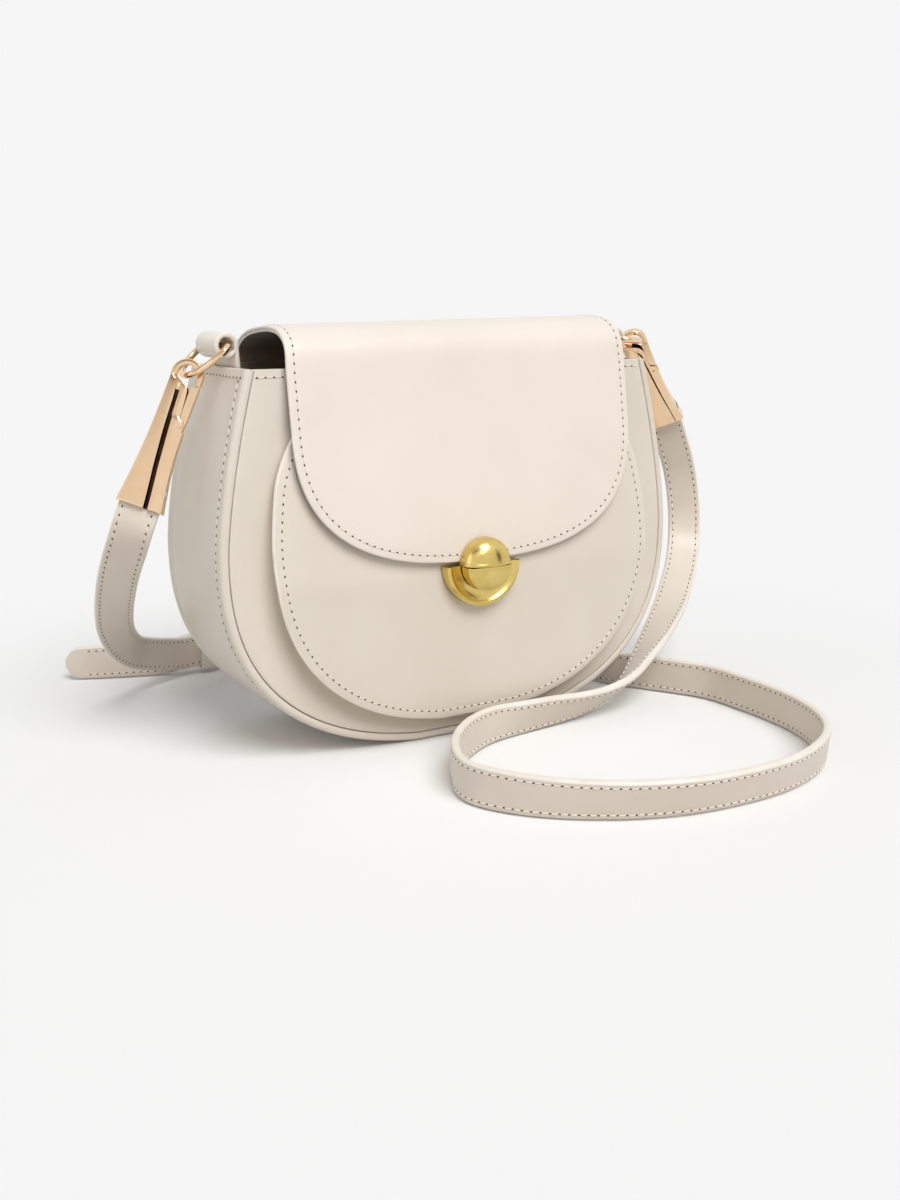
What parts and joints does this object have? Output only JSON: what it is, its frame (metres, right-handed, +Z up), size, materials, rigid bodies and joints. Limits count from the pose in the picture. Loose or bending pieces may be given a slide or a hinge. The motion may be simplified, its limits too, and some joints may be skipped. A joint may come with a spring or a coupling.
{
  "type": "crossbody saddle bag",
  "caption": "Cream leather crossbody saddle bag with a press-lock flap, a front pocket and a long flat strap on two snap hooks.",
  "frame": {"origin": "centre of the bag's flat base, on the surface it stands on", "axes": "+Z up, the flap and pocket face -Y, +X to the right as seen from the front"},
  "size_m": [0.3006, 0.2868, 0.167],
  "materials": {
    "front_panel": "smooth cream coated leather, soft sheen",
    "back_panel": "smooth cream coated leather, soft sheen",
    "gusset": "smooth cream coated leather, soft sheen",
    "pocket_front": "smooth cream coated leather, soft sheen",
    "pocket_gusset": "smooth cream coated leather, soft sheen",
    "flap_hinge_strip": "smooth cream coated leather, soft sheen",
    "flap_outer": "smooth cream coated leather, soft sheen",
    "left_tab": "smooth cream coated leather, soft sheen",
    "right_tab": "smooth cream coated leather, soft sheen",
    "strap_short": "smooth cream coated leather, soft sheen",
    "strap_long": "smooth cream coated leather, soft sheen",
    "strap_keeper": "smooth cream coated leather, soft sheen",
    "gusset_lining": "dark brown woven lining",
    "front_lining": "dark brown woven lining",
    "back_lining": "dark brown woven lining",
    "pocket_lining": "dark brown woven lining",
    "flap_lining": "dark brown woven lining",
    "gusset_board": "bonded fibre board stiffener",
    "front_board": "bonded fibre board stiffener",
    "back_board": "bonded fibre board stiffener",
    "lock_plate": "satin yellow gold plating",
    "lock_button": "satin yellow gold plating",
    "flap_dome": "satin yellow gold plating",
    "left_ring": "polished pale rose gold plating",
    "right_ring": "polished pale rose gold plating",
    "left_snap_hook": "polished pale rose gold plating",
    "right_snap_hook": "polished pale rose gold plating",
    "left_hook_gate": "polished pale rose gold plating",
    "right_hook_gate": "polished pale rose gold plating",
    "left_gate_pin": "polished pale rose gold plating",
    "right_gate_pin": "polished pale rose gold plating",
    "left_strap_rivet": "polished pale rose gold plating",
    "right_strap_rivet": "polished pale rose gold plating",
    "buckle_frame": "polished pale rose gold plating",
    "buckle_prong": "polished pale rose gold plating",
    "lock_spring": "plain steel",
    "lock_back_plate": "plain steel",
    "left_lock_screw": "plain steel",
    "right_lock_screw": "plain steel",
    "flap_tongue": "plain steel",
    "tongue_rivet": "plain steel",
    "flap_back_plate": "plain steel"
  },
  "bodies": {
    "bag": {"front_panel": "front_panel", "back_panel": "back_panel", "gusset": "gusset", "pocket_front": "pocket_front", "pocket_gusset": "pocket_gusset", "flap_hinge_strip": "flap_hinge_strip", "left_tab": "left_tab", "right_tab": "right_tab", "strap_short": "strap_short", "strap_long": "strap_long", "gusset_lining": "gusset_lining", "front_lining": "front_lining", "back_lining": "back_lining", "pocket_lining": "pocket_lining", "gusset_board": "gusset_board", "front_board": "front_board", "back_board": "back_board", "lock_plate": "lock_plate", "buckle_frame": "buckle_frame", "lock_spring": "lock_spring", "lock_back_plate": "lock_back_plate", "left_lock_screw": "left_lock_screw", "right_lock_screw": "right_lock_screw"},
    "flap": {"flap_outer": "flap_outer", "flap_lining": "flap_lining", "flap_dome": "flap_dome", "flap_tongue": "flap_tongue", "tongue_rivet": "tongue_rivet", "flap_back_plate": "flap_back_plate"},
    "button": {"lock_button": "lock_button"},
    "keeper": {"strap_keeper": "strap_keeper"},
    "prong": {"buckle_prong": "buckle_prong"},
    "left_ring": {"left_ring": "left_ring"},
    "left_hook": {"left_snap_hook": "left_snap_hook", "left_gate_pin": "left_gate_pin", "left_strap_rivet": "left_strap_rivet"},
    "left_gate": {"left_hook_gate": "left_hook_gate"},
    "right_ring": {"right_ring": "right_ring"},
    "right_hook": {"right_snap_hook": "right_snap_hook", "right_gate_pin": "right_gate_pin", "right_strap_rivet": "right_strap_rivet"},
    "right_gate": {"right_hook_gate": "right_hook_gate"}
  },
  "joints": [
    {"name": "flap_hinge", "type": "hinge", "parent": "bag", "child": "flap", "pos_m": [0, 0.0294, 0.1501], "axis": [-1, 0, 0], "range_deg": [0, 150]},
    {"name": "lock_press", "type": "slide", "parent": "bag", "child": "button", "axis": [0, 1, 0], "range_m": [0, 0.0016], "stiffness_N_per_m": 400, "deforming": ["lock_spring"]},
    {"name": "left_ring_swing", "type": "hinge", "parent": "bag", "child": "left_ring", "pos_m": [-0.09, 0, 0.158], "axis": [0, 1, 0], "range_deg": [-4, 35], "deforming": ["strap_short"]},
    {"name": "left_hook_swing", "type": "hinge", "parent": "left_ring", "child": "left_hook", "pos_m": [-0.10276, -0.003, 0.14729], "axis": [0, 1, 0], "range_deg": [-4, 25], "deforming": ["strap_short"]},
    {"name": "left_gate_open", "type": "hinge", "parent": "left_hook", "child": "left_gate", "pos_m": [-0.10797, -0.00669, 0.12843], "axis": [-0.4691, -0.8333, 0.2925], "range_deg": [0, 13], "stiffness_Nm_per_rad": 0.1},
    {"name": "right_ring_swing", "type": "hinge", "parent": "bag", "child": "right_ring", "pos_m": [0.09, 0, 0.158], "axis": [0, 1, 0], "range_deg": [-30, 4], "deforming": ["strap_long"]},
    {"name": "right_hook_swing", "type": "hinge", "parent": "right_ring", "child": "right_hook", "pos_m": [0.10694, 0, 0.15652], "axis": [0, 1, 0], "range_deg": [-20, 4], "deforming": ["strap_long"]},
    {"name": "right_gate_open", "type": "hinge", "parent": "right_hook", "child": "right_gate", "pos_m": [0.12183, 0.00292, 0.14363], "axis": [-0.3754, -0.7107, -0.595], "range_deg": [0, 13], "stiffness_Nm_per_rad": 0.1},
    {"name": "keeper_slide", "type": "slide", "parent": "bag", "child": "keeper", "axis": [1, 0, 0], "range_m": [0, 0.012]},
    {"name": "prong_swing", "type": "hinge", "parent": "bag", "child": "prong", "pos_m": [-0.026, 0.108, 0.0112], "axis": [0, 0, 1], "range_deg": [0, 18]}
  ]
}
